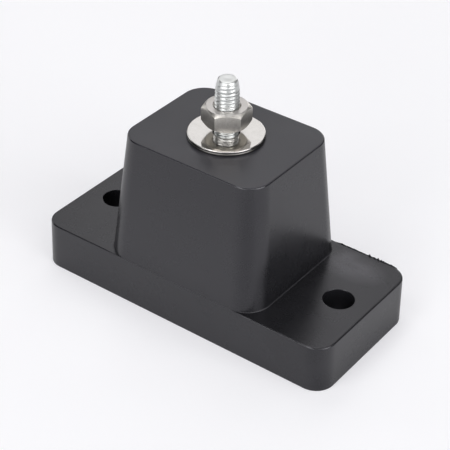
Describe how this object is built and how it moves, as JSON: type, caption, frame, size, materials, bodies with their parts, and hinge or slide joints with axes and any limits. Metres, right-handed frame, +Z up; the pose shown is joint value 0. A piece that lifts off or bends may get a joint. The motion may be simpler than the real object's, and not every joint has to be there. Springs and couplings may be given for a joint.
{
  "type": "anti-vibration mounting bracket",
  "caption": "Moulded rubber foot with fixing holes at its ends and a tapered block in its middle, which carries a moulded-in threaded stud with a large washer and a hexagon nut.",
  "frame": {"origin": "middle of the foot's flat underside", "axes": "+X along the foot through both fixing holes, +Z up along the stud, +Y across the foot"},
  "size_m": [0.137, 0.0616, 0.0965],
  "materials": {
    "moulded_rubber": "matt moulded black rubber",
    "zinc_plated_steel": "bright zinc plating",
    "polished_steel": "polished, nearly a mirror",
    "nickel_plated_steel": "satin, slightly warm grey"
  },
  "bodies": {
    "root": {"rubber_body": "moulded_rubber", "moulded_in_bolt": "zinc_plated_steel", "flat_washer": "polished_steel", "hex_nut": "nickel_plated_steel"}
  },
  "joints": []
}
